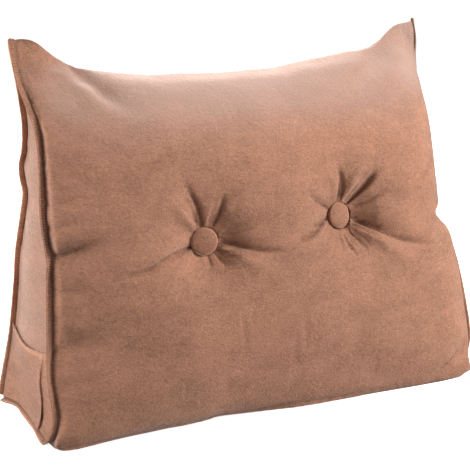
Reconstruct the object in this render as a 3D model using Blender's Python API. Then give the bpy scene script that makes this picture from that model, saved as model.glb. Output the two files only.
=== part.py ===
"""Wedge backrest pillow, standing on its base: a filled sleeve of cloth with a three-cornered
gusset at each end, two covered buttons that tuft the front, a narrow sewn flange round each
gusset and a flat pocket on the left one. Metres, +Z up, the front faces -Y."""

import math

import bmesh
import bpy
from mathutils import Matrix, Vector

# Driving sizes
HALF_WIDTH = 0.3012
PANEL_LENGTH = 0.480
BASE_LIFT = 0.004
SEAM_GAP = 0.0003

# Fullness of the sleeve. A crown power says how late the fullness falls off towards a gusset, and
# the edge power how round it then meets the seam. Both are fuller at the bottom corners.
CROWN_POWER = 3
CORNER_POWER = 24
LEFT_EDGE_POWER = 0.72
RIGHT_EDGE_POWER = 0.58
CORNER_EDGE_POWER = 0.48
CORNER_REACH = 0.07
EAR_REACH = 0.068
EAR_BLEND = 0.20
PULL_START = 0.7
FOOT_REACH = 0.08
CORNER_SWELL = 0.0115
CHEEK = 0.006
GUSSET_SWELL = 0.007

# Covered buttons
BUTTON_RADIUS = 0.018
BUTTON_RISE = 0.0085
BUTTON_EDGE = 0.0045
BUTTON_X = 0.097
BUTTON_T = 0.515
BUTTON_TILT = 0.011
BUTTON_TURN = math.radians(10)
DIMPLE_DEPTH = 0.036
DIMPLE_REACH = 0.036
SEAT_DEPTH = 0.0065
SEAT_RADIUS = 0.0212

# Sewn flange round each gusset
FLANGE_WIDTH = 0.0060
FLANGE_THICK = 0.0022
CORNER_CLEAR = 0.0045
CORNER_START = 0.012
ROOT_GAP = 0.0004
LAID_BACK = 0.75

# Side pocket
POCKET_THICK = 0.0016
POCKET_OFFSET = 0.0011
POCKET_BORDER = 0.0035
POCKET_TOP = 0.115
POCKET_GAPE = 0.0025
MOUTH_SAG = 0.012
MOUTH_LIFT = 0.024
PLEAT_FOOT = 0.26
PLEAT_HEAD = 0.09
PLEAT_BOW = 0.04
PLEAT_RISE = 0.003

# Mesh fineness
FINE_STEP = BUTTON_X / 15
FINE_COLUMNS = 23
SIDE_COLUMNS = 10
FINE_ROWS = 9
GUSSET_COLUMNS = 6

# Girth of the pillow at a gusset and in the middle, from the bottom front seam (t 0) over the
# ridge (t 1) to the bottom back seam (t 2). An inset is how far a gusset's seam is drawn in.
# columns: t, edge y, edge z, left inset, right inset, middle y, middle z
EDGE_Y, EDGE_Z, LEFT_INSET, RIGHT_INSET, MIDDLE_Y, MIDDLE_Z = range(1, 7)
GIRTH = (
    (0.00, 0.024, 0.004, 0.004, 0.006, 0.000, 0.000),
    (0.04, 0.008, 0.014, 0.006, 0.013, -0.013, 0.010),
    (0.10, 0.006, 0.042, 0.010, 0.006, -0.023, 0.040),
    (0.20, 0.019, 0.088, 0.009, 0.004, -0.032, 0.088),
    (0.32, 0.035, 0.143, 0.017, 0.009, -0.034, 0.145),
    (0.41, 0.049, 0.186, 0.023, 0.0195, -0.032, 0.189),
    (0.45, 0.054, 0.205, 0.025, 0.034, -0.030, 0.207),
    (0.48, 0.058, 0.219, 0.027, 0.043, -0.028, 0.221),
    (0.58, 0.073, 0.265, 0.028, 0.041, -0.017, 0.268),
    (0.70, 0.089, 0.322, 0.033, 0.035, 0.006, 0.322),
    (0.80, 0.103, 0.369, 0.034, 0.0275, 0.034, 0.362),
    (0.90, 0.116, 0.415, 0.020, 0.0235, 0.070, 0.393),
    (0.96, 0.124, 0.443, 0.018, 0.0185, 0.095, 0.407),
    (0.99, 0.1300, 0.4610, 0.018, 0.0185, 0.113, 0.4115),
    (1.00, 0.1320, 0.4630, 0.018, 0.0180, 0.118, 0.412),
    (1.01, 0.1340, 0.4610, 0.019, 0.0195, 0.123, 0.4115),
    (1.04, 0.1325, 0.443, 0.021, 0.0225, 0.140, 0.408),
    (1.10, 0.132, 0.410, 0.0265, 0.031, 0.165, 0.392),
    (1.20, 0.146, 0.362, 0.0365, 0.036, 0.190, 0.352),
    (1.27, 0.155, 0.329, 0.0385, 0.037, 0.200, 0.321),
    (1.33, 0.160, 0.301, 0.035, 0.036, 0.207, 0.294),
    (1.39, 0.164, 0.273, 0.0405, 0.036, 0.211, 0.266),
    (1.46, 0.168, 0.240, 0.037, 0.034, 0.214, 0.233),
    (1.55, 0.172, 0.199, 0.031, 0.026, 0.216, 0.192),
    (1.65, 0.176, 0.154, 0.028, 0.018, 0.215, 0.145),
    (1.80, 0.182, 0.088, 0.021, 0.010, 0.208, 0.078),
    (1.92, 0.187, 0.034, 0.011, 0.008, 0.197, 0.022),
    (1.97, 0.189, 0.012, 0.007, 0.008, 0.190, 0.006),
    (2.00, 0.188, 0.004, 0.005, 0.008, 0.182, 0.000),
)

# Where the front of the base meets the floor, a little uneven as the filling pushes it.
# columns: x, y
FOOT_LINE = (
    (-0.300, -0.008),
    (-0.280, -0.004),
    (-0.240, 0.001),
    (-0.180, 0.005),
    (-0.110, 0.007),
    (-0.080, 0.011),
    (-0.045, 0.005),
    (0.033, -0.009),
    (0.130, -0.015),
    (0.240, -0.021),
    (0.300, -0.018),
)

# How far the left front seam stands forward of the right one, and for each metre of that, how far
# it stands out to the left.
# columns: t, forward
LEFT_FORWARD = (
    (0.00, 0.000),
    (0.10, 0.005),
    (0.20, 0.012),
    (0.32, 0.022),
    (0.48, 0.029),
    (0.65, 0.029),
    (0.80, 0.020),
    (0.90, 0.007),
    (0.96, 0.001),
    (1.00, 0.000),
)
LEFT_SLANT = 0.345

# How far the top roll rises above an even one, or falls below it.
# columns: x, rise
RIDGE_LINE = (
    (-0.300, 0.0000),
    (-0.268, -0.0005),
    (-0.250, -0.0040),
    (-0.234, -0.0065),
    (-0.220, -0.0040),
    (-0.195, -0.0020),
    (-0.150, -0.0005),
    (0.000, -0.0010),
    (0.055, -0.0005),
    (0.085, 0.0035),
    (0.130, 0.0055),
    (0.170, 0.0045),
    (0.200, 0.0000),
    (0.235, -0.0040),
    (0.262, -0.0015),
    (0.280, 0.0000),
    (0.300, 0.0000),
)
RIDGE_REACH = 0.10

# How far the bottom edge of a gusset is drawn in further, between its two corners.
# columns: share of the way from front to back, inset
BASE_INSET = ((0.0, 0.0), (0.15, 0.003), (0.33, 0.0075), (0.80, 0.012), (0.93, 0.007), (1.0, 0.0))

# Folds pulled into the front, as troughs. Places are millimetres across the front from the
# middle and up the panel from the bottom seam. A bow bends a fold to the left of its way. A lip is
# a ridge beside the trough, on its left for a positive value. The ramp is the share of its length
# over which a fold deepens.
# columns: start x, start up, end x, end up, bow, depth, half-width, lip, ramp
FOLDS = (
    (-103, 264, -136, 328, 1, 8.0, 8.5, 0.5, 0.12),
    (-87, 264, -71, 308, 1, 6.0, 7.0, 0.3, 0.15),
    (-76, 251, -20, 262, 1, 4.0, 7.0, 0.3, 0.15),
    (-78, 243, -2, 221, -5, 8.5, 9.0, -0.6, 0.12),
    (-114, 243, -218, 198, 3, 7.5, 9.5, -0.3, 0.12),
    (-96, 230, -96, 198, 0, 4.0, 6.5, 0.0, 0.20),
    (-86, 232, -70, 196, 0, 4.0, 6.5, 0.2, 0.20),
    (-116, 257, -176, 279, 2, 3.5, 8.0, 0.2, 0.20),
    (109, 271, 164, 324, 2, 8.5, 8.5, 0.5, 0.12),
    (115, 263, 192, 293, 2, 5.0, 7.5, 0.3, 0.15),
    (115, 250, 230, 193, -4, 9.0, 10.0, -0.6, 0.12),
    (99, 277, 83, 328, -5, 6.0, 7.5, 0.3, 0.12),
    (79, 264, 22, 291, 1, 5.0, 8.5, 0.2, 0.15),
    (78, 253, -22, 233, 5, 7.5, 8.5, 0.4, 0.12),
    (101, 237, 113, 205, 0, 4.0, 6.5, 0.0, 0.20),
    (106, 240, 130, 206, 0, 4.5, 6.5, 0.2, 0.20),
    (80, 244, 36, 214, 2, 4.0, 7.5, 0.2, 0.20),
    (-297, 226, -190, 260, 3, 6.0, 13.0, 0.2, 0.25),
    (-297, 124, -196, 154, 3, 6.0, 13.0, 0.2, 0.25),
    (292, 54, 205, 6, 0, 6.0, 10.0, -0.3, 0.20),
    (270, 252, 180, 226, -3, 6.0, 10.0, 0.3, 0.20),
    (297, 222, 238, 236, 0, 9.0, 10.0, 0.0, 0.05),
    (-222, 478, -160, 398, 3, 7.5, 11.0, -0.6, 0.30),
    (222, 478, 150, 405, -3, 4.5, 13.0, 0.3, 0.30),
)


def clear_scene():
    for thing in list(bpy.data.objects):
        bpy.data.objects.remove(thing, do_unlink=True)


def smoothstep(value):
    value = min(1.0, max(0.0, value))
    return value * value * (3 - 2 * value)


def slope_at(table, row, column):
    """Slope of a column at a row of a table, by its neighbours."""
    low = max(row - 1, 0)
    high = min(row + 1, len(table) - 1)
    return (table[high][column] - table[low][column]) / (table[high][0] - table[low][0])


def along(table, place, column):
    """A smooth curve through a column of a table, read at a place of its first column."""
    place = min(max(place, table[0][0]), table[-1][0])
    row = 0
    while row < len(table) - 2 and table[row + 1][0] < place:
        row += 1
    step = table[row + 1][0] - table[row][0]
    q = (place - table[row][0]) / step
    start = table[row][column]
    end = table[row + 1][column]
    leave = slope_at(table, row, column) * step
    arrive = slope_at(table, row + 1, column) * step
    return (
        start * (1 + 2 * q) * (1 - q) ** 2
        + leave * q * (1 - q) ** 2
        + end * q * q * (3 - 2 * q)
        + arrive * q * q * (q - 1)
    )


def crown(x, t):
    """How full the sleeve is at a place between its middle and a gusset."""
    share = min(1.0, abs(x) / HALF_WIDTH)
    plain = LEFT_EDGE_POWER if x < 0 and t < 1 else RIGHT_EDGE_POWER
    if x < 0:
        plain += (RIGHT_EDGE_POWER - plain) * smoothstep((t - 0.75) / 0.2)
    corner = math.exp(-min(t, 2 - t) / CORNER_REACH)
    edge_power = plain + (CORNER_EDGE_POWER - plain) * corner
    return (1 - share ** (CROWN_POWER + CORNER_POWER * corner)) ** edge_power


def ear_fill(share, t):
    """0 at an ear's tip, where front and back lie flat together, to 1 well away from it."""
    away = math.hypot((1 - share) * HALF_WIDTH, abs(t - 1) * PANEL_LENGTH)
    near = 1 - math.exp(-((away / EAR_REACH) ** 3.3))
    return 0.75 * near + 0.25 * smoothstep(away / EAR_BLEND)


def side_swell(share, t):
    """How far the sleeve stands out past its own seam: round each corner and along the cheeks."""
    corner = CORNER_SWELL * math.exp(-t / 0.05) * math.exp(-(((share - 0.955) / 0.03) ** 2))
    cheek = CHEEK * smoothstep(abs(t - 1) / 0.3) * math.exp(-(((share - 0.93) / 0.04) ** 2))
    return corner + cheek


def plain_skin(x, t):
    """A point of the front, ridge or back, before tufting."""
    share = min(1.0, abs(x) / HALF_WIDTH)
    fill = crown(x, t) * ear_fill(share, t)
    forward = along(LEFT_FORWARD, t, 1) if x < 0 else 0.0
    edge_y = along(GIRTH, t, EDGE_Y) - forward
    edge_z = along(GIRTH, t, EDGE_Z)
    inset = along(GIRTH, t, LEFT_INSET if x < 0 else RIGHT_INSET) - forward * LEFT_SLANT
    foot = along(FOOT_LINE, x, 1) * math.exp(-t / FOOT_REACH)
    middle_y = along(GIRTH, t, MIDDLE_Y) + foot
    middle_z = along(GIRTH, t, MIDDLE_Z)
    rise = along(RIDGE_LINE, x, 1) * math.exp(-(((t - 1) / RIDGE_REACH) ** 2))
    pull = max(0.0, (share - PULL_START) / (1 - PULL_START)) ** 2
    return Vector((
        x - math.copysign(inset * pull - side_swell(share, t), x),
        edge_y + (middle_y - edge_y) * fill,
        edge_z + (middle_z - edge_z) * fill + rise,
    ))


def skin_normal(x, t):
    step = 0.002
    across = plain_skin(x + step, t) - plain_skin(x - step, t)
    up = plain_skin(x, t + step / PANEL_LENGTH) - plain_skin(x, t - step / PANEL_LENGTH)
    return across.cross(up).normalized()


def button_place(side):
    """A button's middle across the panel and up it."""
    return side * BUTTON_X, BUTTON_T + side * BUTTON_TILT


def from_button(side, x, t):
    """Way from a button's middle to a place on the panel, in metres."""
    middle_x, middle_t = button_place(side)
    return x - middle_x, (t - middle_t) * PANEL_LENGTH


def round_the_grid(x, t):
    """Moves a grid point near a button so that the rings of points round it are circles."""
    for side in (-1, 1):
        a = (x - side * BUTTON_X) / FINE_STEP
        b = (t - BUTTON_T) * PANEL_LENGTH / FINE_STEP
        ring = max(abs(a), abs(b))
        if 0.5 < ring < 8:
            roundness = 1 - smoothstep((ring - 4) / 4)
            push = (SEAT_RADIUS / FINE_STEP - 2) * math.exp(-(((ring - 2) / 1.6) ** 2))
            factor = 1 + ((ring + push) / math.hypot(a, b) - 1) * roundness
            x = side * BUTTON_X + a * factor * FINE_STEP
            t = BUTTON_T + b * factor * FINE_STEP / PANEL_LENGTH
    reach = x / BUTTON_X
    level = math.exp(-(((t - BUTTON_T) / 0.25) ** 2))
    return x, t + BUTTON_TILT * reach * math.exp((1 - reach * reach) / 2) * level


def fold_height(x, t):
    """Height of the folds above the plain skin, below 0 in a trough."""
    height = 0.0
    for x0, up0, x1, up1, bow, depth, width, lip, ramp in FOLDS:
        length = math.hypot(x1 - x0, up1 - up0)
        way_x = (x1 - x0) / length
        way_up = (up1 - up0) / length
        from_x = x * 1000 - x0
        from_up = t * PANEL_LENGTH * 1000 - up0
        q = (from_x * way_x + from_up * way_up) / length
        if 0 < q < 1:
            off = from_up * way_x - from_x * way_up - bow * 4 * q * (1 - q)
            spread = width * (0.75 + 0.6 * q)
            size = depth / 1000 * smoothstep(q / ramp) * (1 - smoothstep(q)) ** 0.8
            height -= size * math.exp(-((off / spread) ** 2))
            beside = off - math.copysign(1.8 * spread, lip)
            height += size * abs(lip) * math.exp(-((beside / spread) ** 2))
    return height


def button_seat(side):
    """Centre and outward direction of the flat seat under a button."""
    centre = plain_skin(*button_place(side))
    outward = skin_normal(*button_place(side))
    seat = centre - outward * (DIMPLE_DEPTH + SEAT_DEPTH)
    outward.rotate(Matrix.Rotation(side * BUTTON_TURN, 3, "Z"))
    return seat, outward


def skin(x, t):
    """A point of the finished front, ridge or back."""
    point = plain_skin(x, t)
    normal = skin_normal(x, t)
    height = fold_height(x, t)
    away = {side: math.hypot(*from_button(side, x, t)) for side in (-1, 1)}
    for side in (-1, 1):
        height -= DIMPLE_DEPTH * math.exp(-max(0.0, away[side] - SEAT_RADIUS) / DIMPLE_REACH)
    point += normal * height
    for side in (-1, 1):
        seated = 1 - smoothstep((away[side] - SEAT_RADIUS - 0.0004) / 0.004)
        if seated > 0:
            centre, outward = button_seat(side)
            flat = point - normal * ((point - centre).dot(outward) / normal.dot(outward))
            point = point.lerp(flat, seated)
    return point


def column_places():
    """Places across the width, fine between the buttons and wider towards the gussets."""
    fine = [k * FINE_STEP for k in range(-FINE_COLUMNS, FINE_COLUMNS + 1)]
    start = FINE_COLUMNS * FINE_STEP
    room = HALF_WIDTH - start
    side = []
    for k in range(1, SIDE_COLUMNS + 1):
        q = k / SIDE_COLUMNS
        side.append(start + room * (0.62 * math.sin(q * math.pi / 2) + 0.38 * q))
    return [-x for x in reversed(side)] + fine + side


def row_places():
    """Places up the front panel, fine at the height of the buttons."""
    step = FINE_STEP / PANEL_LENGTH
    fine = [BUTTON_T + k * step for k in range(-FINE_ROWS, FINE_ROWS + 1)]
    low = [0.0, 0.02, 0.05, 0.09, 0.135, 0.185, 0.235, 0.285, 0.33, 0.37]
    high = [0.68, 0.715, 0.75, 0.785, 0.82, 0.86, 0.90, 0.93, 0.96, 0.99]
    return low + fine + high


def gusset_point(side, t, share):
    """A point of a gusset: share runs from its front seam to its back seam."""
    front = plain_skin(side * HALF_WIDTH, t)
    back = plain_skin(side * HALF_WIDTH, 2 - t)
    point = front.lerp(back, share)
    point.x -= side * along(BASE_INSET, share, 1) * math.exp(-t / 0.10)
    swell = GUSSET_SWELL * smoothstep(t / 0.2) * smoothstep((0.99 - t) / 0.5)
    point.x += side * swell * math.sin(math.pi * share)
    return point


def material(name, colour, roughness):
    made = bpy.data.materials.new(name)
    made.use_nodes = True
    shader = made.node_tree.nodes["Principled BSDF"]
    shader.inputs["Base Color"].default_value = (*colour, 1)
    shader.inputs["Roughness"].default_value = roughness
    shader.inputs["Metallic"].default_value = 0
    return made


def add_object(name, mesh, finish, parent):
    mesh.materials.append(finish)
    made = bpy.data.objects.new(name, mesh)
    bpy.context.scene.collection.objects.link(made)
    made.parent = parent
    return made


def shade(mesh, sharp_degrees):
    mesh.shade_smooth()
    mesh.set_sharp_from_angle(angle=math.radians(sharp_degrees))


def make_cushion(finish, parent):
    """The filled cover as one solid: sleeve, base and both gussets share their seam points."""
    columns = column_places()
    rows = row_places()
    bm = bmesh.new()
    last = len(columns) - 1

    front = []
    for t in rows + [1.0]:
        ring = []
        for x in columns:
            ring.append(bm.verts.new(skin(*round_the_grid(x, t))))
        front.append(ring)
    for lower, upper in zip(front, front[1:]):
        for k in range(last):
            bm.faces.new((lower[k], lower[k + 1], upper[k + 1], upper[k]))

    # The back has every second column, so its first faces have one point more.
    back = [front[-1]]
    for t in reversed(rows):
        ring = {}
        for k in range(0, last + 1, 2):
            ring[k] = bm.verts.new(skin(columns[k], 2 - t))
        back.append(ring)
    for k in range(0, last, 2):
        top = back[0]
        bm.faces.new((top[k], top[k + 1], top[k + 2], back[1][k + 2], back[1][k]))
        for upper, lower in zip(back[1:], back[2:]):
            bm.faces.new((upper[k], upper[k + 2], lower[k + 2], lower[k]))

    # The base is flat on the floor but for its lifted side edges.
    base = [back[-1]]
    for step in range(GUSSET_COLUMNS - 1, 0, -1):
        share = step / GUSSET_COLUMNS
        ring = {}
        for k in range(0, last + 1, 2):
            x = columns[k]
            width_share = abs(x) / HALF_WIDTH
            edge = gusset_point(1 if x > 0 else -1, 0.0, share)
            front_y = along(GIRTH, 0.0, MIDDLE_Y) + along(FOOT_LINE, x, 1)
            middle_y = front_y * (1 - share) + along(GIRTH, 2.0, MIDDLE_Y) * share
            near = smoothstep((width_share - 0.90) / 0.10)
            pull = near * (HALF_WIDTH - abs(edge.x))
            ring[k] = bm.verts.new((
                x - math.copysign(pull, x),
                middle_y + (edge.y - middle_y) * near,
                BASE_LIFT * near,
            ))
        base.append(ring)
    for k in range(0, last, 2):
        for upper, lower in zip(base, base[1:]):
            bm.faces.new((upper[k], upper[k + 2], lower[k + 2], lower[k]))
        end = front[0]
        bm.faces.new((base[-1][k], base[-1][k + 2], end[k + 2], end[k + 1], end[k]))

    for side, k in ((-1, 0), (1, last)):
        bottom = [front[0][k]] + [ring[k] for ring in reversed(base[1:])] + [base[0][k]]
        panel = [bottom]
        for row, t in enumerate(rows[1:], 1):
            ring = [front[row][k]]
            for step in range(1, GUSSET_COLUMNS):
                ring.append(bm.verts.new(gusset_point(side, t, step / GUSSET_COLUMNS)))
            ring.append(back[len(rows) - row][k])
            panel.append(ring)
        for lower, upper in zip(panel, panel[1:]):
            for g in range(GUSSET_COLUMNS):
                bm.faces.new((lower[g], lower[g + 1], upper[g + 1], upper[g]))
        bm.faces.new(panel[-1] + [front[-1][k]])

    # The bottom rows lie no lower than the floor.
    for vert in bm.verts:
        vert.co.z = max(vert.co.z, 0.0)
    bmesh.ops.recalc_face_normals(bm, faces=bm.faces)
    bmesh.ops.triangulate(bm, faces=[f for f in bm.faces if len(f.verts) > 4])
    mesh = bpy.data.meshes.new("cushion")
    bm.to_mesh(mesh)
    bm.free()
    shade(mesh, 50)
    return add_object("cushion", mesh, finish, parent)


def seam_line(side, which):
    """Points of the cushion's seam on a gusset, and the way its flange stands at each."""
    rows = row_places()
    places = []
    if which == "base":
        start = gusset_point(side, 0.0, 0.0)
        end = gusset_point(side, 0.0, 1.0)
        length = (end - start).length
        shares = [CORNER_CLEAR / length]
        shares += [g / GUSSET_COLUMNS for g in range(1, GUSSET_COLUMNS)]
        shares += [1 - CORNER_CLEAR / length]
        for share in shares:
            g = min(int(share * GUSSET_COLUMNS), GUSSET_COLUMNS - 1)
            low = gusset_point(side, 0.0, g / GUSSET_COLUMNS)
            high = gusset_point(side, 0.0, (g + 1) / GUSSET_COLUMNS)
            point = low.lerp(high, share * GUSSET_COLUMNS - g)
            places.append((point, Vector((side * 0.97, 0, -0.24)).normalized()))
        return places
    for t in [CORNER_START] + rows[1:]:
        corner = 1 - smoothstep(t / 0.08)
        if which == "front":
            point = plain_skin(side * HALF_WIDTH, t)
            outward = Vector((side * 0.94, -0.34 + 0.28 * corner, -0.25 * corner))
            if side > 0:
                outward.y += LAID_BACK * smoothstep((t - 0.68) / 0.14)
        else:
            point = plain_skin(side * HALF_WIDTH, 2 - t)
            outward = Vector((side * 0.94, 0.34, -0.1 * corner))
        places.append((point, outward.normalized()))
    return places


def make_flange(side, which, finish, parent):
    """One sewn flange: a doubled strip of cloth that stands out from a gusset's seam."""
    places = seam_line(side, which)
    bm = bmesh.new()
    rings = []
    for k, (point, outward) in enumerate(places):
        before = places[max(k - 1, 0)][0]
        after = places[min(k + 1, len(places) - 1)][0]
        run = (after - before).normalized()
        outward = (outward - run * outward.dot(run)).normalized()
        across = run.cross(outward)
        wave = 0.0009 * math.sin(37 * point.z + 61 * point.y + 2 * side)
        root = point + outward * ROOT_GAP
        inner = point + outward * (ROOT_GAP + FLANGE_THICK * 0.6)
        outer = point + outward * (ROOT_GAP + FLANGE_WIDTH) + across * wave
        half = across * (FLANGE_THICK / 2)
        ring = [root, inner - half, outer - half * 0.8, outer + half * 0.8, inner + half]
        rings.append([bm.verts.new(co) for co in ring])
    for low, high in zip(rings, rings[1:]):
        for k in range(5):
            bm.faces.new((low[k], low[(k + 1) % 5], high[(k + 1) % 5], high[k]))
    bm.faces.new(rings[0])
    bm.faces.new(rings[-1])
    bmesh.ops.recalc_face_normals(bm, faces=bm.faces)
    name = f"{'left' if side < 0 else 'right'}_{which}_flange"
    mesh = bpy.data.meshes.new(name)
    bm.to_mesh(mesh)
    bm.free()
    shade(mesh, 60)
    return add_object(name, mesh, finish, parent)


def gusset_facet(t, share):
    """A point on the left gusset's own facets, between its rows and columns."""
    rows = row_places()
    row = max(k for k, place in enumerate(rows) if place <= t)
    row = min(row, len(rows) - 2)
    up = (t - rows[row]) / (rows[row + 1] - rows[row])
    g = min(int(share * GUSSET_COLUMNS + 1e-6), GUSSET_COLUMNS - 1)
    across = share * GUSSET_COLUMNS - g
    ends = []
    for place in (rows[row], rows[row + 1]):
        low = gusset_point(-1, place, g / GUSSET_COLUMNS)
        high = gusset_point(-1, place, (g + 1) / GUSSET_COLUMNS)
        ends.append(low.lerp(high, across))
    return ends[0].lerp(ends[1], up)


def pocket_lift(share, pleat, height):
    """How far the pocket stands off the gusset. height runs from 0 at the base to 1 at the mouth."""
    gape = POCKET_GAPE * smoothstep((height - 0.6) / 0.4) * math.sin(math.pi * share)
    beyond = share - pleat
    if beyond < 0:
        rise = 0.0
    else:
        rise = PLEAT_RISE * math.exp(-beyond / 0.16) * smoothstep((1 - height) / 0.15)
    return POCKET_OFFSET + gape + rise * smoothstep((1 - share) / 0.3)


def make_pocket(finish, parent):
    """The patch pocket: a sheet on the lower part of the left gusset, with one pressed pleat."""
    rows = [t for t in row_places() if gusset_point(-1, t, 0).z < POCKET_TOP]
    rows[0] = CORNER_START
    bm = bmesh.new()
    inside = []
    outside = []
    for row, t in enumerate(rows):
        height = row / (len(rows) - 1)
        pleat = PLEAT_FOOT + (PLEAT_HEAD - PLEAT_FOOT) * height
        pleat += PLEAT_BOW * math.sin(math.pi * height)
        length = (gusset_point(-1, t, 1) - gusset_point(-1, t, 0)).length
        border = POCKET_BORDER / length
        shares = [border, pleat - 0.012, pleat, pleat + 0.06]
        shares += [g / GUSSET_COLUMNS for g in range(2, GUSSET_COLUMNS)] + [1 - border]
        under = []
        over = []
        for share in shares:
            sag = MOUTH_SAG * math.sin(math.pi * share) - MOUTH_LIFT * (1 - share)
            point = gusset_facet(t - sag if row == len(rows) - 1 else t, share)
            lift = pocket_lift(share, pleat, height)
            under.append(bm.verts.new(point - Vector((lift, 0, 0))))
            over.append(bm.verts.new(point - Vector((lift + POCKET_THICK, 0, 0))))
        inside.append(under)
        outside.append(over)
    last = len(inside[0]) - 1
    for layer in (inside, outside):
        for low, high in zip(layer, layer[1:]):
            for g in range(last):
                bm.faces.new((low[g], low[g + 1], high[g + 1], high[g]))
    for under, over in ((inside[0], outside[0]), (inside[-1], outside[-1])):
        for g in range(last):
            bm.faces.new((under[g], over[g], over[g + 1], under[g + 1]))
    for g in (0, last):
        for k in range(len(rows) - 1):
            bm.faces.new((inside[k][g], inside[k + 1][g], outside[k + 1][g], outside[k][g]))
    bmesh.ops.recalc_face_normals(bm, faces=bm.faces)
    mesh = bpy.data.meshes.new("side_pocket")
    bm.to_mesh(mesh)
    bm.free()
    shade(mesh, 50)
    return add_object("side_pocket", mesh, finish, parent)


def make_button(side, finish, parent):
    """A covered button: a low dome with a rolled edge, turned about its own axis."""
    profile = [(0.0, 0.0), (BUTTON_RADIUS * 0.88, 0.0)]
    for k in range(1, 4):
        turn = math.pi / 2 * k / 3
        profile.append((
            BUTTON_RADIUS * (0.88 + 0.12 * math.sin(turn)),
            BUTTON_EDGE * (1 - math.cos(turn)),
        ))
    for k in range(1, 5):
        q = k / 4
        profile.append((
            BUTTON_RADIUS * math.cos(q * math.pi / 2),
            BUTTON_EDGE + (BUTTON_RISE - BUTTON_EDGE) * math.sin(q * math.pi / 2),
        ))
    profile[-1] = (0.0, BUTTON_RISE)
    bm = bmesh.new()
    line = [bm.verts.new((radius, 0, height)) for radius, height in profile]
    edges = [bm.edges.new(pair) for pair in zip(line, line[1:])]
    bmesh.ops.spin(
        bm, geom=line + edges, cent=(0, 0, 0), axis=(0, 0, 1), angle=2 * math.pi,
        steps=24, use_merge=True,
    )
    bmesh.ops.remove_doubles(bm, verts=bm.verts, dist=0.00001)
    bmesh.ops.recalc_face_normals(bm, faces=bm.faces)
    name = f"{'left' if side < 0 else 'right'}_button"
    mesh = bpy.data.meshes.new(name)
    bm.to_mesh(mesh)
    bm.free()
    shade(mesh, 60)
    button = add_object(name, mesh, finish, parent)
    centre, outward = button_seat(side)
    button.location = centre + outward * SEAM_GAP
    button.rotation_euler = outward.to_track_quat("Z", "Y").to_euler()
    return button


def stand_on_origin(parent):
    """Moves the parent empty so that the origin is the middle of the pillow's footprint box."""
    bpy.context.view_layer.update()
    corners = []
    for thing in parent.children:
        for vert in thing.data.vertices:
            corners.append(thing.matrix_world @ vert.co)
    for axis in (0, 1):
        values = [corner[axis] for corner in corners]
        parent.location[axis] = -(min(values) + max(values)) / 2
    parent.location.z = -min(corner.z for corner in corners)


def build():
    clear_scene()
    pillow = bpy.data.objects.new("pillow", None)
    bpy.context.scene.collection.objects.link(pillow)
    suede = material("suede_cloth", (0.50, 0.27, 0.19), 0.9)
    edge_cloth = material("suede_edge_cloth", (0.44, 0.23, 0.155), 0.9)
    button_cloth = material("suede_button_cloth", (0.48, 0.25, 0.17), 0.85)
    make_cushion(suede, pillow)
    for side in (-1, 1):
        for which in ("front", "back", "base"):
            make_flange(side, which, edge_cloth, pillow)
        make_button(side, button_cloth, pillow)
    make_pocket(suede, pillow)
    stand_on_origin(pillow)


build()
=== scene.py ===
"""Looks of a wedge backrest pillow in suede-like cloth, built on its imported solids.
Metres, +Z up, the tufted front faces -Y and the pocket is on the -X gusset."""

import math

import bmesh
import bpy
import numpy as np
from mathutils import Matrix, Vector, noise
from mathutils.bvhtree import BVHTree
from mathutils.kdtree import KDTree


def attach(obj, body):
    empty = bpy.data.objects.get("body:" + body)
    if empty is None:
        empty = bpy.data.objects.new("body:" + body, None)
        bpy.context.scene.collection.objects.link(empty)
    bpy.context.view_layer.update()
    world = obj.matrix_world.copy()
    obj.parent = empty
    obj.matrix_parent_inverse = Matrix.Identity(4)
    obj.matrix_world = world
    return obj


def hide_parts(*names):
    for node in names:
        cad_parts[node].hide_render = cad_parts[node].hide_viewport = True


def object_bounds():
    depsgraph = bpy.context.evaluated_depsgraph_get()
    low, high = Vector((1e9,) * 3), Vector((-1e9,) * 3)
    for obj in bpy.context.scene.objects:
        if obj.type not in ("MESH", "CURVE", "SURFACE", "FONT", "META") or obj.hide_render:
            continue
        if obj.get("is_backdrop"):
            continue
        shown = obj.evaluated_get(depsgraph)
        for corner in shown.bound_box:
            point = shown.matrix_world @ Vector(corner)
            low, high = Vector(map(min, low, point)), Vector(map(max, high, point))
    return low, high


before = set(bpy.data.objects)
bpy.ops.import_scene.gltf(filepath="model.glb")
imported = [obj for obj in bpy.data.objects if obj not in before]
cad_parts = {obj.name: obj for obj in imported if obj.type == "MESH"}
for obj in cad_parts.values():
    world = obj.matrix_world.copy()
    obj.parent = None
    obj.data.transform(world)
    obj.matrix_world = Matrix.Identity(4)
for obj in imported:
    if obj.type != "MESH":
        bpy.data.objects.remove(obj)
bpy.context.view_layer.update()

# The cushion: one sleeve of brushed suede-like cloth with a three-cornered gusset sewn into each
# end, stuffed with loose fibre, and drawn in at two tufts. The cover is loose enough to fold.

# An edge is a seam where it bends by more than the first angle, or by more than the second within
# reach of a flange. Seams that meet and turn by more than the corner's angle stay pointed there.
SEAM_ANGLE = math.radians(48)
SEAM_BEND = math.radians(10)
SEAM_REACH = 0.0027
CORNER_ANGLE = math.radians(60)

# The cover is this share larger than its filling, which presses on it. It is held at the seams, at
# the foot and at the buttons' seats, and its wrinkles are kept up to a height.
COVER_EXCESS = 0.006
FILL_PRESSURE = 4
FILL_STEPS = 20
FOOT_HELD = 0.004
SEAT_RADIUS = 0.026
SEAT_HEIGHT = 0.03
WRINKLE_HEIGHT = 0.0004
WRINKLE_ROUNDS = 60

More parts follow.
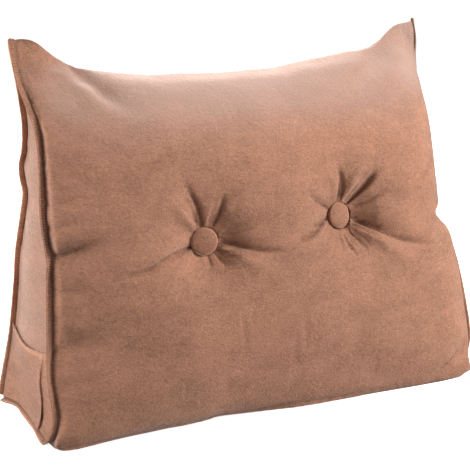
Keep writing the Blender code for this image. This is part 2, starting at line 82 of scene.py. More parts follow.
# Lumps of the filling, and puckers along the seams: height, size, and distance from the seam.
LUMP_HEIGHT = 0.0013
LUMP_SIZE = 0.055
SMALL_LUMP_HEIGHT = 0.0006
SMALL_LUMP_SIZE = 0.024
LUMP_START = 0.02
PUCKER_HEIGHT = 0.0022
PUCKER_SIZE = 0.013
PUCKER_REACH = 0.012
PUCKER_START = 0.0025
PUCKER_FOOT = 0.006

# The crease that wavers along the front's foot, over the seam of the base.
FOOT_LINE = 0.0065
FOOT_WAVER = 0.0016
FOOT_WAVER_SIZE = 0.06
FOOT_CHANGE_SIZE = 0.05
FOOT_WIDTH = 0.0022
FOOT_DEPTH = 0.0022
FOOT_SHADE = 0.7
FOOT_FRONT = -0.05

# Where the cover hangs loose and slumps out of its stuffing, in millimetres.
# columns: middle x, y, z, reach x, y, z, move x, y, z
SLACK = (
    (-298, -120, 3, 22, 24, 13, -12.5, -6.5, -1),
    (292, -112, 3, 15, 18, 12, 6.0, -2.5, 0),
    (270, 0, 450, 16, 70, 26, 0, 0, -8.5),
    (240, 0, 430, 16, 70, 30, 0, 0, 4.5),
    (302, -20, 425, 16, 60, 55, 4.2, 0, 0),
)

# The depth at which a fold's painted shade is darkest, and the half-width of the painted shade
# along a seam and round a button, whose rim is this far from its middle.
FOLD_DARK = 0.0045
FOLD_DARK_POWER = 1.6
SEAM_DARK = 0.0032
SEAM_SHADE = 0.95
RIM_DARK = 0.0014
RIM_LINE = 0.0172
RIM_HEIGHT = 0.02

# Where the cloth is the rolled top, the right ear, a gusset or the front: the start and the length
# of a rise, of a part of its normal or of a place in metres. A painted sheen makes the colour
# paler on the first three.
TOP_SLOPE = (0.38, 0.57)
TOP_HEIGHT = (0.26, 0.14)
EAR_SIDE = (0.20, 0.08)
EAR_HEIGHT = (0.34, 0.08)
GUSSET_SLOPE = (0.93, 0.04)
FRONT_SLOPE = (0.1, 0.4)
EAR_PALE = 0.85
GUSSET_PALE = 0.35

# How the cloth is drawn in round a button, as far as this from its axis and along it.
TUFT_REACH = 0.044
TUFT_HEIGHT = 0.06

# Its distance from the axis before and after, in millimetres, and the share of its height above
# the button's seat that it keeps.
# columns: before, after, height kept
TUFT_DRAW = (
    (0.0, 0.0, 1.0),
    (21.4, 17.1, 1.0),
    (23.0, 17.6, 0.55),
    (25.0, 19.0, 0.52),
    (28.0, 23.2, 0.62),
    (33.0, 30.3, 0.80),
    (38.0, 37.0, 0.93),
    (44.0, 44.0, 1.0),
    (500.0, 500.0, 1.0),
)

# A fold's half-width as a share of its own at its start, what that gains by its end, and the share
# of its length from which it fades. Its sides are softer for a lower power, and its lip lies this
# many half-widths from its bottom.
FOLD_START = 0.7
FOLD_GAIN = 0.7
FOLD_FADE = 0.4
FOLD_POWER = 1.4
LIP_AWAY = 1.7

# Folds in the front, as troughs, in millimetres across (x) and up (z) from the pillow's middle.
# A bow bends a fold to the left of its way, a lip is a ridge on its left for a positive value,
# and the ramp is the share of its length over which it deepens.
# columns: start x, start z, end x, end z, bow, depth, half-width, lip, ramp
FRONT_FOLDS = (
    (-98, 247, -133, 311, -2.5, 4.6, 2.5, 0.25, 0.08),
    (-82, 245, -74, 287, -1.5, 3.8, 2.3, 0.25, 0.10),
    (-90, 247, -84, 280, 1.0, 1.6, 1.9, 0.20, 0.12),
    (-68, 231, -28, 246, -1.9, 2.4, 2.0, 0.25, 0.12),
    (-71, 223, 22, 211, -6.0, 4.4, 3.0, -0.35, 0.08),
    (-111, 218, -196, 200, -5.6, 6.0, 3.0, 0.12, 0.06),
    (-160, 209, -238, 195, -1.0, 3.4, 4.0, 0.15, 0.25),
    (-92, 206, -95, 192, 0.0, 2.0, 2.0, 0.20, 0.15),
    (-83, 207, -74, 193, 0.0, 2.2, 2.0, 0.20, 0.15),
    (-117, 231, -168, 260, 1.0, 1.6, 3.0, 0.20, 0.15),
    (-108, 250, -149, 293, 1.0, 1.8, 3.0, 0.20, 0.15),
    (-96, 246, -118, 262, 0.5, 1.4, 2.0, 0.20, 0.15),
    (112, 248, 160, 300, 3.2, 6.0, 2.8, 0.30, 0.06),
    (119, 244, 180, 276, 0.0, 3.4, 2.6, 0.25, 0.08),
    (119, 227, 238, 186, -6.0, 6.4, 3.0, -0.35, 0.06),
    (117, 221, 172, 198, -2.0, 2.6, 2.4, 0.25, 0.12),
    (101, 258, 80, 311, -5.2, 3.4, 2.2, -0.30, 0.10),
    (96, 259, 88, 296, -2.0, 1.8, 1.8, 0.20, 0.12),
    (78, 246, 32, 277, 1.9, 2.8, 2.4, 0.25, 0.12),
    (76, 234, -20, 216, 5.0, 3.6, 2.6, 0.30, 0.08),
    (79, 227, 22, 207, 2.0, 1.6, 2.6, 0.20, 0.15),
    (98, 211, 105, 186, -2.0, 2.8, 2.1, 0.25, 0.15),
    (108, 213, 123, 190, 0.0, 2.4, 2.1, 0.20, 0.15),
    (90, 211, 86, 193, 0.0, 1.6, 1.9, 0.20, 0.15),
    (-288, 226, -222, 250, -2.5, 4.6, 5.5, 0.15, 0.04),
    (-296, 122, -245, 141, -1.0, 2.6, 4.6, 0.15, 0.04),
    (-292, 78, -233, 95, -1.5, 1.8, 5.0, 0.15, 0.04),
    (-278, 341, -242, 321, 2.0, 1.6, 4.0, 0.20, 0.04),
    (-222, 432, -176, 382, 3.0, 2.6, 4.6, 0.25, 0.05),
    (-205, 405, -150, 372, 2.0, 1.6, 5.0, 0.20, 0.10),
    (-283, 283, -238, 292, 1.0, 1.6, 4.0, 0.20, 0.04),
    (-285, 257, -248, 271, -1.0, 2.0, 4.0, 0.20, 0.04),
    (-290, 190, -250, 186, 1.0, 1.5, 4.5, 0.15, 0.04),
    (-293, 158, -252, 166, 0.0, 1.6, 4.0, 0.15, 0.04),
    (252, 292, 180, 258, 2.0, 2.2, 5.0, 0.15, 0.04),
    (262, 222, 205, 216, 1.0, 3.4, 4.2, 0.20, 0.04),
    (250, 124, 190, 118, 2.0, 2.0, 6.0, 0.15, 0.04),
    (266, 36, 212, 5, 0.0, 5.0, 3.4, -0.4, 0.05),
)


def cloth_copy(node, name):
    """A new piece with a merged copy of a solid's mesh, its triangles joined in pairs."""
    flat_enough = math.radians(65)
    mesh = bpy.data.meshes.new(name)
    bm = bmesh.new()
    bm.from_mesh(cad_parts[node].data)
    bmesh.ops.remove_doubles(bm, verts=bm.verts, dist=0.00002)
    bmesh.ops.join_triangles(
        bm, faces=bm.faces, angle_face_threshold=flat_enough, angle_shape_threshold=flat_enough
    )
    bm.to_mesh(mesh)
    bm.free()
    piece = bpy.data.objects.new(name, mesh)
    bpy.context.scene.collection.objects.link(piece)
    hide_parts(node)
    return piece


def crease_seams(piece, angle, seams=None):
    """Keeps edges sharp that bend by more than an angle, or that lie on a given seam."""
    bm = bmesh.new()
    bm.from_mesh(piece.data)
    line = bm.edges.layers.float.new("crease_edge")
    tip = bm.verts.layers.float.new("crease_vert")
    for edge in bm.edges:
        if len(edge.link_faces) < 2:
            continue
        bend = edge.calc_face_angle(0)
        on_seam = False
        if seams and bend > SEAM_BEND:
            middle = (edge.verts[0].co + edge.verts[1].co) / 2
            on_seam = seams.find_nearest(middle, SEAM_REACH)[0] is not None
        if bend > angle or on_seam:
            edge[line] = 1.0
    for vert in bm.verts:
        creased = [edge for edge in vert.link_edges if edge[line] > 0]
        if len(creased) > 2:
            vert[tip] = 1.0
        elif len(creased) == 2:
            ways = [(edge.other_vert(vert).co - vert.co).normalized() for edge in creased]
            if ways[0].dot(ways[1]) > -math.cos(CORNER_ANGLE):
                vert[tip] = 1.0
    bm.to_mesh(piece.data)
    bm.free()


def solid_tree(ending):
    """The solids whose names end in a word, in one tree, to find what lies near them."""
    bm = bmesh.new()
    for name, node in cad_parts.items():
        if name.endswith(ending):
            bm.from_mesh(node.data)
    tree = BVHTree.FromBMesh(bm)
    bm.free()
    return tree


def apply_modifiers(piece):
    """Replaces a piece's mesh with what its modifiers make of it."""
    graph = bpy.context.evaluated_depsgraph_get()
    made = bpy.data.meshes.new_from_object(piece.evaluated_get(graph))
    piece.modifiers.clear()
    old = piece.data
    piece.data = made
    bpy.data.meshes.remove(old)


def points_of(piece):
    """Every vertex's place and outward normal, as arrays."""
    count = len(piece.data.vertices)
    places = np.empty(count * 3)
    normals = np.empty(count * 3)
    piece.data.vertices.foreach_get("co", places)
    piece.data.vertex_normals.foreach_get("vector", normals)
    return places.reshape(-1, 3), normals.reshape(-1, 3)


def set_points(piece, places):
    piece.data.vertices.foreach_set("co", places.ravel())
    piece.data.update()


def note(piece, name, values):
    """Keeps a number for every vertex, for the materials to read."""
    piece.data.attributes.new(name, "FLOAT", "POINT").data.foreach_set("value", values)


def round_off(piece, levels=1):
    """Subdivides a piece so that its smooth surface still passes through its own points."""
    finer = piece.modifiers.new("finer", "SUBSURF")
    finer.levels = levels
    finer.render_levels = levels
    goal, _ = points_of(piece)
    guess = goal.copy()
    for _ in range(4):
        graph = bpy.context.evaluated_depsgraph_get()
        made = piece.evaluated_get(graph).data
        reached = np.empty(len(made.vertices) * 3)
        made.vertices.foreach_get("co", reached)
        guess += goal - reached.reshape(-1, 3)[:len(goal)]
        set_points(piece, guess)
    apply_modifiers(piece)


def rise(value, start, length):
    """0 up to a start, then softly up to 1 over a length."""
    share = np.clip((value - start) / length, 0.0, 1.0)
    return share * share * (3 - 2 * share)


def bell(away, reach):
    """1 on a line and softly down to 0 on both sides of it."""
    return np.exp(-((away / reach) ** 2))


def lumps(places, size, seed):
    """Smooth noise from -1 to 1 with features of a given size."""
    shift = Vector((seed * 3.7, seed * 1.9, seed * 2.3))
    return np.array([noise.noise(Vector(place) / size + shift) for place in places])


def fold_heights(places, table):
    """Height of a table's folds at each place of the front, below 0 in a trough."""
    x = places[:, 0] * 1000
    z = places[:, 2] * 1000
    height = np.zeros(len(places))
    for x0, z0, x1, z1, bow, depth, width, lip, ramp in table:
        length = math.hypot(x1 - x0, z1 - z0)
        way_x = (x1 - x0) / length
        way_z = (z1 - z0) / length
        q = ((x - x0) * way_x + (z - z0) * way_z) / length
        off = (z - z0) * way_x - (x - x0) * way_z - bow * 4 * q * (1 - q)
        spread = width * (FOLD_START + FOLD_GAIN * np.clip(q, 0, 1))
        size = depth / 1000 * rise(q, 0, ramp) * (1 - rise(q, FOLD_FADE, 1 - FOLD_FADE))
        size = np.where((q > 0) & (q < 1), size, 0)
        height -= size * np.exp(-(abs(off / spread) ** FOLD_POWER))
        beside = off - math.copysign(LIP_AWAY, lip) * spread
        height += size * abs(lip) * bell(beside, spread)
    return height


def button_frame(side_name):
    """The foot of a button's axis and the way it faces, from its solid."""
    places, _ = points_of(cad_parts[f"{side_name}_button"])
    middle = places.mean(axis=0)
    _, ways = np.linalg.eigh(np.cov((places - middle).T))
    way = ways[:, 0]
    way = way * (-1 if way[1] > 0 else 1)
    return middle + way * ((places - middle) @ way).min(), way


cushion = cloth_copy("cushion", "cushion_cover")
crease_seams(cushion, SEAM_ANGLE, solid_tree("_flange"))
round_off(cushion)
buttons = {name: button_frame(name) for name in ("left", "right")}


def near_button(places, name):
    """Distance from a button's axis and height along it, for each place."""
    foot, way = buttons[name]
    along = (places - foot) @ way
    return np.linalg.norm(places - foot - np.outer(along, way), axis=1), along


def draw_in(places):
    """Draws the cloth close round the buttons, so that it hugs their rims."""
    before, after, kept = (np.array(column) for column in zip(*TUFT_DRAW))
    for name, (foot, way) in buttons.items():
        away, height = near_button(places, name)
        nearby = (away < TUFT_REACH) & (abs(height) < TUFT_HEIGHT)
        outward = places - foot - np.outer(height, way)
        scale = np.interp(away * 1000, before, after) / np.maximum(away * 1000, 1e-6)
        keep = np.interp(away * 1000, before, kept)
        drawn = foot + outward * scale[:, None] + np.outer(height * keep, way)
        places = np.where(nearby[:, None], drawn, places)
    return places


def seam_points(piece):
    """Numbers of the vertices on creased edges."""
    creases = piece.data.attributes["crease_edge"]
    found = set()
    for edge, crease in zip(piece.data.edges, creases.data):
        if crease.value > 0.5:
            found.update(edge.vertices)
    return sorted(found)


def near_seam(piece, places):
    """The nearest seam point of each place, and how far it is."""
    numbers = seam_points(piece)
    tree = KDTree(len(numbers))
    for number in numbers:
        tree.insert(places[number], number)
    tree.balance()
    found = [tree.find(place) for place in places]
    return np.array([spot for spot, _, _ in found]), np.array([away for _, _, away in found])


def evened(piece, values, rounds):
    """Values averaged over their neighbours again and again, which leaves the slow part."""
    ends = np.empty(len(piece.data.edges) * 2, dtype=int)
    piece.data.edges.foreach_get("vertices", ends)
    one, other = ends.reshape(-1, 2).T
    count = np.bincount(ends, minlength=len(values))[:, None]
    for _ in range(rounds):
        total = np.empty_like(values)
        for axis in range(values.shape[1]):
            total[:, axis] = np.bincount(one, values[other, axis], len(values))
            total[:, axis] += np.bincount(other, values[one, axis], len(values))
        values = (values + total / count) / 2
    return values


def fill_out(piece):
    """Blows the cover up against its seams and tufts, and keeps the wrinkles that this gives."""
    places, _ = points_of(piece)
    held = piece.vertex_groups.new(name="held")
    weight = np.zeros(len(places))
    weight[seam_points(piece)] = 1.0
    weight[places[:, 2] < FOOT_HELD] = 1.0
    for name in buttons:
        away, height = near_button(places, name)
        weight[(away < SEAT_RADIUS) & (abs(height) < SEAT_HEIGHT)] = 1.0
    for number in np.nonzero(weight)[0]:
        held.add([int(number)], float(weight[number]), "REPLACE")
    cloth = piece.modifiers.new("fill", "CLOTH")
    settings = cloth.settings
    settings.quality = 6
    settings.mass = 0.25
    settings.tension_stiffness = 18
    settings.compression_stiffness = 12
    settings.shear_stiffness = 8
    settings.bending_stiffness = 2.5
    settings.air_damping = 2
    settings.effector_weights.gravity = 0
    settings.use_pressure = True
    settings.uniform_pressure_force = FILL_PRESSURE
    settings.shrink_min = -COVER_EXCESS
    settings.vertex_group_mass = "held"
    settings.pin_stiffness = 1
    cloth.point_cache.frame_start = 1
    cloth.point_cache.frame_end = FILL_STEPS
    for number in range(1, FILL_STEPS + 1):
        bpy.context.scene.frame_set(number)
    apply_modifiers(piece)
    bpy.context.scene.frame_set(1)
    moved, _ = points_of(piece)
    move = moved - places
    move -= evened(piece, move, WRINKLE_ROUNDS)
    size = np.linalg.norm(move, axis=1)
    move *= (np.minimum(size, WRINKLE_HEIGHT) / np.maximum(size, 1e-9))[:, None]
    set_points(piece, places + move)


fill_out(cushion)

round_off(cushion)
places, normals = points_of(cushion)
gusset = rise(abs(normals[:, 0]), *GUSSET_SLOPE)
# Painted sheen: the colour is painted paler on the rolled top, the right ear and the gussets.
painted_sheen = rise(normals[:, 2], *TOP_SLOPE) * rise(places[:, 2], *TOP_HEIGHT)
painted_sheen += EAR_PALE * rise(places[:, 0], *EAR_SIDE) * rise(places[:, 2], *EAR_HEIGHT)
note(cushion, "painted_sheen", np.maximum(np.minimum(painted_sheen, 1.0), GUSSET_PALE * gusset))

# The folds, which only the front has, and the painted shade that lies in them and along the seams.
seam_spot, seam_away = near_seam(cushion, places)
height = fold_heights(places, FRONT_FOLDS) * rise(-normals[:, 1], *FRONT_SLOPE)
shade = np.clip(-height / FOLD_DARK, 0, 1) ** FOLD_DARK_POWER
shade = np.maximum(shade, SEAM_SHADE * bell(seam_away, SEAM_DARK))

# Lumps and puckers, both weaker on the flatter gussets.
free = rise(places[:, 2], 0, LUMP_START) * rise(seam_away, 0, LUMP_START) * (1 - 0.75 * gusset)
lumpy = LUMP_HEIGHT * lumps(places, LUMP_SIZE, 1)
height += free * (lumpy + SMALL_LUMP_HEIGHT * lumps(places, SMALL_LUMP_SIZE, 2))
pucker = np.exp(-seam_away / PUCKER_REACH) * (1 - np.exp(-seam_away / PUCKER_START))
pucker *= (1 - 0.7 * gusset) * rise(places[:, 2], 0, PUCKER_FOOT)
height += PUCKER_HEIGHT * pucker * lumps(seam_spot, PUCKER_SIZE, 3)

# The crease along the foot, which comes and goes across the pillow, with painted shade in it.
line = np.zeros_like(places)
line[:, 0] = places[:, 0]
low = places[:, 2] - FOOT_LINE - FOOT_WAVER * lumps(line, FOOT_WAVER_SIZE, 9)
crease = bell(low, FOOT_WIDTH) * (places[:, 1] < FOOT_FRONT) * rise(seam_away, 0, LUMP_START)
crease *= 0.6 + 0.8 * lumps(line, FOOT_CHANGE_SIZE, 10)
height -= FOOT_DEPTH * crease
shade = np.maximum(shade, FOOT_SHADE * crease)

places = draw_in(places + normals * height[:, None])
for row in np.array(SLACK) / 1000:
    slack = np.exp(-(((places - row[:3]) / row[3:6]) ** 2).sum(axis=1))
    places += np.outer(slack, row[6:])
places[:, 2] = np.maximum(places[:, 2], 0.0)
set_points(cushion, places)
# A thin ring of painted shade round each button, where the cloth meets its rim.
for name in buttons:
    away, tall = near_button(places, name)
    shade = np.maximum(shade, bell(away - RIM_LINE, RIM_DARK) * (abs(tall) < RIM_HEIGHT))
note(cushion, "shade", shade)


class Shade:
    """A number that varies over a surface: an output of a material's node."""

    def __init__(self, finish, socket):
        self.finish = finish
        self.socket = socket

    def math(self, operation, first, second=0.0):
        return self.finish.node(
            "ShaderNodeMath", {"operation": operation}, {0: first, 1: second}
        )

    def __add__(self, other):
        return self.math("ADD", self, other)

    __radd__ = __add__

    def __sub__(self, other):
        return self.math("SUBTRACT", self, other)

    def __rsub__(self, other):
        return self.math("SUBTRACT", other, self)

    def __mul__(self, other):
        return self.math("MULTIPLY", self, other)

    __rmul__ = __mul__

    def __rpow__(self, other):
        return self.math("POWER", other, self)


class Finish:
    """A material of one piece, built node by node round its shader."""

    def __init__(self, name):
        self.material = bpy.data.materials.new(name)
        self.material.use_nodes = True
        self.tree = self.material.node_tree
        self.shader = self.tree.nodes["Principled BSDF"]

    def node(self, kind, settings, inputs, output=0):
        """Adds a node. Its settings are set first, then the values or links of its sockets."""
        made = self.tree.nodes.new(kind)
        for key, value in settings.items():
            setattr(made, key, value)
        for key, value in inputs.items():
            self.put(made.inputs[key], value)
        return Shade(self, made.outputs[output])

    def noted(self, name):
        """What a piece's vertices keep under a name."""
        return self.node("ShaderNodeAttribute", {"attribute_name": name}, {}, "Fac")

    def put(self, socket, value):
        if isinstance(value, Shade):
            self.tree.links.new(value.socket, socket)
        else:
            socket.default_value = value

    def set(self, **sockets):
        for name, value in sockets.items():
            self.put(self.shader.inputs[name.replace("_", " ").title()], value)


SUEDE_COLOUR = (0.36, 0.175, 0.11)

# The scale of the pattern along x, y and z: its marks lie across the front, and are long on the
# gussets.
SUEDE_SCALE = (0.75, 0.28, 1.25)


def toned(colour, share):
    return tuple(part * share for part in colour)


def suede(name, colour, sheen, grain=1.0, tone_marks=None):
    """Brushed cloth: a mottled pile, short fibres that lie a little across, and a soft sheen.
    A piece's own marks, given last, are added to the tone, from dark at 0 to light at 1: painted
    shade and painted highlights on the strips and the hem, and a lighter rim on the buttons."""
    cloth = Finish(name)
    place = cloth.node("ShaderNodeTexCoord", {}, {}, "Object")
    across = cloth.node("ShaderNodeMapping", {}, {"Vector": place, "Scale": SUEDE_SCALE})

    def cloud(size, detail, rough, shift):
        moved = cloth.node(
            "ShaderNodeVectorMath", {"operation": "ADD"}, {0: across, 1: (shift, shift, shift)}
        )
        return cloth.node(
            "ShaderNodeTexNoise", {},
            {"Vector": moved, "Scale": 1 / size, "Detail": detail, "Roughness": rough},
        )

    patches = cloud(0.085, 2.0, 0.5, 0.31)
    mottle = cloud(0.022, 3.0, 0.6, 0.57)
    streak = cloud(0.0048, 2.0, 0.6, 0.83)
    fibre = cloud(0.0021, 2.0, 0.75, 0.19)
    speck = cloud(0.0009, 1.0, 0.5, 0.43)
    tone = (
        (patches - 0.5) * 0.80 + (mottle - 0.5) * 0.85 + (streak - 0.5) * 0.75 * grain
        + (fibre - 0.5) * 1.5 * grain + 0.5
    )
    # Painted shade, where a piece notes it: in folds, along seams, round the buttons and along the
    # pocket's mouth.
    tone = tone - cloth.noted("shade") * 0.62
    # A piece's own marks: painted shade and painted highlights on the strips and on the pocket's
    # hem, and a lighter rim on the buttons.
    if tone_marks:
        tone = tone + tone_marks(cloth)
    tone = tone.math("MAXIMUM", tone, -0.6)
    tint = cloth.node(
        "ShaderNodeMix", {"data_type": "RGBA", "clamp_factor": False},
        {0: tone, 6: (*toned(colour, 0.68), 1), 7: (*toned(colour, 1.32), 1)}, 2,
    )
    # Painted sheen, where a piece notes it: paler and less saturated.
    pale = tuple(part + 0.16 for part in toned(colour, 0.8))
    tint = cloth.node(
        "ShaderNodeMix", {"data_type": "RGBA"},
        {0: cloth.noted("painted_sheen") * 0.85, 6: tint, 7: (*pale, 1)}, 2,
    )
    bump = cloth.node(
        "ShaderNodeBump", {},
        {"Strength": 0.8 * grain, "Distance": 0.0014,
         "Height": fibre * 1.0 + speck * 0.4 + streak * 0.8},
    )
    cloth.set(base_color=tint, normal=bump, roughness=0.92 + (mottle - 0.5) * 0.1)
    inputs = cloth.shader.inputs
    inputs["Sheen Weight"].default_value = sheen
    inputs["Sheen Roughness"].default_value = 0.30
    inputs["Sheen Tint"].default_value = (1.0, 0.94, 0.89, 1)
    inputs["Specular IOR Level"].default_value = 0.15
    return cloth.material


def dress(piece, material):
    piece.data.shade_smooth()
    piece.data.materials.clear()
    piece.data.materials.append(material)


dress(cushion, suede("suede_cloth", SUEDE_COLOUR, 0.45))
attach(cushion, "root")

# The flanges: where the sleeve meets a gusset, both edges are folded out together and sewn, which
# leaves a narrow doubled strip round the gusset, gathered along its stitching.

FLANGE_WIDTH = 0.0060
ROOT_GAP = 0.0005
ROOT_NEAR = 0.0009
ROOT_TUCK = 0.0022

# The gathers along the stitching: their step, their height, and how far they stay alike.
GATHER_STEP = 0.0029
GATHER_DEPTH = 0.00055
GATHER_DRIFT = 0.016
GATHER_CHANGE = 0.03
EDGE_WAVE = 0.0003
EDGE_WAVE_SIZE = 0.011
BASE_STRENGTH = 0.6

# Across the strip: the stitching, the groove between the two layers, and the swell of the edge.
STITCH_LINE = 0.34
STITCH_WIDTH = 0.09
STITCH_GROOVE = 0.00030
LAYER_WIDTH = 0.28
LAYER_GROOVE = 0.0007
TIP_SWELL = 0.00045

# The left front strip curls out at its foot, and the right one is turned back at the ear.
CORNER_CURL = 0.0028
CORNER_HEIGHT = 0.032
EAR_TURN = (-0.0030, 0.0035, -0.0048)
EAR_TURN_HEIGHT = (0.33, 0.05)


def lay_out(piece, cover, face_way):
    """Notes how far out each point of a flange is, from 0 at its root, and on which face."""
    bm = bmesh.new()
    bm.from_mesh(piece.data)
    out = bm.verts.layers.float.new("out")
    face = bm.verts.layers.float.new("face")
    for vert in bm.verts:
        near, _, _, away = cover.find_nearest(vert.co)
        vert[out] = min(1.0, max(0.0, (away - ROOT_GAP) / (FLANGE_WIDTH - 0.0008)))
        if away < ROOT_NEAR:
            vert.co += (near - vert.co).normalized() * ROOT_TUCK
        elif vert.normal.dot(face_way) > 0:
            vert[face] = 1.0
        else:
            vert[face] = -1.0
    bm.to_mesh(piece.data)
    bm.free()


def cut_across(piece, axis, cuts):
    """Adds loops across a strip, so that it can carry fine gathers along its length."""
    bm = bmesh.new()
    bm.from_mesh(piece.data)
    lengthwise = []
    for edge in bm.edges:
        way = edge.verts[1].co - edge.verts[0].co
        if abs(way[axis]) > 0.75 * way.length:
            lengthwise.append(edge)
    bmesh.ops.subdivide_edges(bm, edges=lengthwise, cuts=cuts, use_grid_fill=True)
    bm.to_mesh(piece.data)
    bm.free()


def noted(piece, name):
    values = np.empty(len(piece.data.vertices))
    piece.data.attributes[name].data.foreach_get("value", values)
    return values


def gather(piece, side, which, axis):
    """Presses the two layers apart at the edge, and ripples them along the stitching."""
    places, normals = points_of(piece)
    out = noted(piece, "out")
    face = noted(piece, "face")
    line = np.zeros_like(places)
    line[:, axis] = places[:, axis]
    turns = 2 * math.pi * line[:, axis] / GATHER_STEP
    swing = np.sin(turns + 5 * lumps(line, GATHER_DRIFT, 5))
    strength = BASE_STRENGTH if which == "base" else 1.0
    size = strength * (0.75 + 0.6 * lumps(line, GATHER_CHANGE, 6))
    on_face = rise(out, 0.30, 0.25) * rise(abs(face), 0.35, 0.3)
    height = GATHER_DEPTH * size * swing * on_face
    height += EDGE_WAVE * lumps(line, EDGE_WAVE_SIZE, 8) * out
    height -= LAYER_GROOVE * bell(face, LAYER_WIDTH) * rise(out, 0.88, 0.1)
    height -= STITCH_GROOVE * bell(out - STITCH_LINE, STITCH_WIDTH) * rise(abs(face), 0, 1)
    height += TIP_SWELL * rise(out, 0.5, 0.4)
    places += normals * height[:, None]
    if (side, which) == ("left", "front"):
        places[:, 0] -= CORNER_CURL * (1 - rise(places[:, 2], 0, CORNER_HEIGHT))
    elif (side, which) == ("right", "front"):
        places += np.outer(out * rise(places[:, 2], *EAR_TURN_HEIGHT), EAR_TURN)
    set_points(piece, places)
    # The ripple is kept for painted shade in the gathers' valleys and painted light on their
    # ridges.
    note(piece, "rib", swing * size * on_face)


def edge_wear_and_shading(cloth):
    """Lighter along the folded edges, partly rubbed wear and partly painted highlight. Painted
    shade between the layers, at the root, a little on the side that faces the front, or down for
    the base strips, and in the gathers' valleys, with painted light on their ridges.
    """
    face = cloth.noted("face")
    tip, root = (
        cloth.node(
            "ShaderNodeMapRange", {"interpolation_type": "SMOOTHSTEP"},
            {"Value": cloth.noted("out"), "From Min": start, "From Max": end},
        )
        for start, end in ((0.80, 0.97), (0.40, 0.05))
    )
    middle = math.e ** (face * face * -9.0)
    return tip * (0.75 - middle * 1.6) - face * 0.06 - root * 0.7 + cloth.noted("rib") * 0.42


# Copies of the one cloth: the back strips' is painted lighter, painted light for strips that lie
# in shade, and the front strips' is a little darker.
edge_cloths = {
    which: suede(f"suede_{which}_edge", toned(SUEDE_COLOUR, tone), 0.5, 1.0, edge_wear_and_shading)
    for which, tone in (("front", 0.88), ("back", 1.30), ("base", 1.0))
}
plain_cover = solid_tree("cushion")
for side in ("left", "right"):
    for which in ("front", "back", "base"):
        flange = cloth_copy(f"{side}_{which}_flange", f"{side}_{which}_edge")
        axis, face_way = (1, Vector((0, 0, -1))) if which == "base" else (2, Vector((0, -1, 0)))
        lay_out(flange, plain_cover, face_way)
        round_off(flange, 2)
        cut_across(flange, axis, 3)
        gather(flange, side, which, axis)
        dress(flange, edge_cloths[which])
        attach(flange, "root")

# The buttons: a pressed metal shell covered with the same cloth, drawn tight, and tied through
# the filling with strong thread.

BUTTON_SHRINK = 0.93
RIM_PLACE = 0.95
RIM_WIDTH = 0.0011


def lighter_rim(cloth):
    """Lighter along the rim."""
    return cloth.noted("rim") * 0.6


button_cloth = suede("suede_button_cloth", toned(SUEDE_COLOUR, 0.93), 0.45, 0.8, lighter_rim)
for side in ("left", "right"):
    button = cloth_copy(f"{side}_button", f"{side}_tuft_button")
    crease_seams(button, math.radians(70))
    round_off(button, 2)
    foot, way = buttons[side]
    places, _ = points_of(button)
    along = (places - foot) @ way
    outward = places - foot - np.outer(along, way)
    set_points(button, places - outward * (1 - BUTTON_SHRINK))
    away = np.linalg.norm(outward, axis=1)
    note(button, "rim", bell(away - away.max() * RIM_PLACE, RIM_WIDTH))
    dress(button, button_cloth)
    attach(button, "root")

# The side pocket: one flat piece of the cloth with a turned hem along its mouth, sewn to the
# left gusset along its sides and foot, with a pressed pleat.

HEM_WIDTH = 0.0018
HEM_LIFT = 0.0006
MOUTH_LOWEST = 0.05
COLUMN_WIDTH = 0.002
MOUTH_GAPE = 0.0012
GAPE_DEPTH = 0.007
GAPE_INSET = 0.012
GAPE_REACH = 0.022
MOUTH_DARK = 0.0034
MOUTH_SHADE = 0.9


def hem_highlight(cloth):
    """Painted highlight along the turned hem of the mouth, with the whole pocket a little darker.
    """
    return cloth.noted("hem") * 0.7 - 0.08


pocket = cloth_copy("side_pocket", "pocket_sheet")
crease_seams(pocket, math.radians(60))
round_off(pocket, 2)
places, normals = points_of(pocket)
mouth = np.zeros(len(places))
for number, place in enumerate(places):
    column = abs(places[:, 1] - place[1]) < COLUMN_WIDTH
    mouth[number] = places[column, 2].max()
below = mouth - places[:, 2]
is_mouth = mouth > MOUTH_LOWEST
hem = bell(below, HEM_WIDTH) * is_mouth
gape = bell(below, GAPE_DEPTH) * is_mouth
gape *= bell(places[:, 1] - places[:, 1].max() + GAPE_INSET, GAPE_REACH)
places[:, 0] -= MOUTH_GAPE * gape
outer = rise(-normals[:, 0], 0.3, 0.4)
set_points(pocket, places + normals * (HEM_LIFT * hem * outer)[:, None])
note(pocket, "hem", hem)
dress(pocket, suede("suede_pocket_cloth", SUEDE_COLOUR, 0.4, 1.2, hem_highlight))

# The gusset's cloth gets painted shade along the pocket's mouth, which crosses its lower half.
tree = KDTree(len(places))
for number in np.nonzero(hem > 0.9)[0]:
    tree.insert(places[number], int(number))
tree.balance()
cover_places, _ = points_of(cushion)
shade = noted(cushion, "shade")
for number in np.nonzero((cover_places[:, 0] < -0.2) & (cover_places[:, 2] < 0.25))[0]:
    shade[number] += MOUTH_SHADE * bell(tree.find(cover_places[number])[2], MOUTH_DARK)
cushion.data.attributes["shade"].data.foreach_set("value", shade)

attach(pocket, "root")

# The floor, the lights and the camera: a pale studio with soft light from above and the right.

FOCAL_PIXELS = 1365
IMAGE_SIDE = 470
SENSOR = 36.0
CAMERA_AT = Vector((-0.8117, -1.4858, 0.632))
CAMERA_TURN = math.radians(-28.3)
CAMERA_TILT = math.radians(14.2)

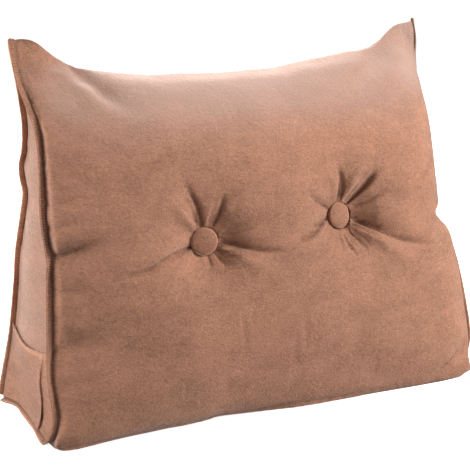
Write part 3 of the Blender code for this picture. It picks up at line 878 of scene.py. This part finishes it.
bm = bmesh.new()
bmesh.ops.create_grid(bm, x_segments=1, y_segments=1, size=14.0)
floor_mesh = bpy.data.meshes.new("studio_floor")
bm.to_mesh(floor_mesh)
bm.free()
floor = bpy.data.objects.new("studio_floor", floor_mesh)
bpy.context.scene.collection.objects.link(floor)
paper = Finish("floor_paper")
paper.set(base_color=(0.92, 0.92, 0.92, 1), roughness=0.9)
paper.shader.inputs["Emission Color"].default_value = (1, 1, 1, 1)
paper.shader.inputs["Emission Strength"].default_value = 0.75
floor_mesh.materials.append(paper.material)
floor_mesh.transform(Matrix.Translation((0, 0, -0.0006)))
floor.visible_diffuse = False
floor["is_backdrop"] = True


def area_light(name, place, target, width, height, power):
    data = bpy.data.lights.new(name, "AREA")
    data.shape = "RECTANGLE"
    data.size = width
    data.size_y = height
    data.energy = power
    lamp = bpy.data.objects.new(name, data)
    lamp.location = place
    lamp.rotation_euler = (Vector(target) - Vector(place)).to_track_quat("-Z", "Y").to_euler()
    bpy.context.scene.collection.objects.link(lamp)


area_light("top_light", (0.30, 0.55, 2.1), (0, 0, 0.2), 1.1, 0.8, 20)
area_light("front_light", (1.1, -2.2, 0.30), (0.1, 0, 0.08), 1.0, 1.0, 17)
area_light("back_light", (0.2, 1.7, 1.5), (0, 0.05, 0.35), 1.2, 0.6, 82)
area_light("right_light", (1.25, -1.05, 0.95), (0, -0.05, 0.10), 0.6, 0.6, 33)
area_light("left_light", (-2.0, 0.35, 0.7), (0, 0.05, 0.15), 1.0, 1.0, 43)

world = bpy.data.worlds.new("studio")
world.use_nodes = True
world.node_tree.nodes["Background"].inputs["Color"].default_value = (1, 1, 1, 1)
world.node_tree.nodes["Background"].inputs["Strength"].default_value = 0.34
bpy.context.scene.world = world
bpy.context.scene.view_settings.view_transform = "Standard"

lens = bpy.data.cameras.new("camera")
lens.sensor_width = SENSOR
lens.lens = SENSOR * FOCAL_PIXELS / IMAGE_SIDE
camera = bpy.data.objects.new("camera", lens)
away = Vector((
    math.sin(CAMERA_TURN) * math.cos(CAMERA_TILT),
    -math.cos(CAMERA_TURN) * math.cos(CAMERA_TILT),
    math.sin(CAMERA_TILT),
))
camera.location = CAMERA_AT
camera.rotation_euler = away.to_track_quat("Z", "Y").to_euler()
bpy.context.scene.collection.objects.link(camera)
bpy.context.scene.camera = camera

low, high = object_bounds()
